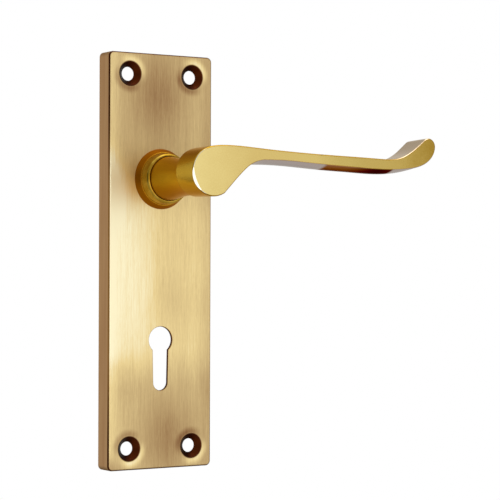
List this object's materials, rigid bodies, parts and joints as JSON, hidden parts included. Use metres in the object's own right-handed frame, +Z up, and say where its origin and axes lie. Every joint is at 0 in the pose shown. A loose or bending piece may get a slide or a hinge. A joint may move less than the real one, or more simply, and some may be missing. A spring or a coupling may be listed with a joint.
{
  "type": "lever handle lockset",
  "caption": "Sprung scroll lever handle on a tall brass lock backplate with screw holes, keyhole, turned collar and square drive spindle.",
  "frame": {"origin": "on the spindle axis, in the plane of the door face that the plate's rim rests on", "axes": "+X along the lever at rest, +Y into the door along the spindle axis, +Z up"},
  "size_m": [0.1163, 0.072, 0.147],
  "materials": {
    "plate_brass": "vertically brushed antique brass, relieved and lacquered",
    "polished_brass": "polished and lacquered",
    "satin_brass": "fine satin front face, polished edges",
    "nylon": "moulded, matt",
    "zinc_steel": "bright zinc plated",
    "spring_steel": "drawn wire, oiled",
    "black_steel": "black oxide, phosphated"
  },
  "bodies": {
    "plate_unit": {"backplate": "plate_brass", "collar": "polished_brass", "bearing_bush": "nylon", "spring_housing": "zinc_steel", "housing_cover": "zinc_steel", "spacer_rivets": "zinc_steel", "return_spring": "spring_steel"},
    "lever_unit": {"neck": "polished_brass", "scroll_grip": "satin_brass", "grub_screw": "black_steel", "spindle": "zinc_steel", "drive_cam": "zinc_steel", "shim_washer": "zinc_steel", "circlip": "black_steel"}
  },
  "joints": [
    {"name": "lever_turn", "type": "hinge", "parent": "plate_unit", "child": "lever_unit", "pos_m": [0, 0, 0], "axis": [0, 1, 0], "range_deg": [0, 45], "stiffness_Nm_per_rad": 0.9, "springref_deg": -20.05, "deforming": ["return_spring"]}
  ]
}
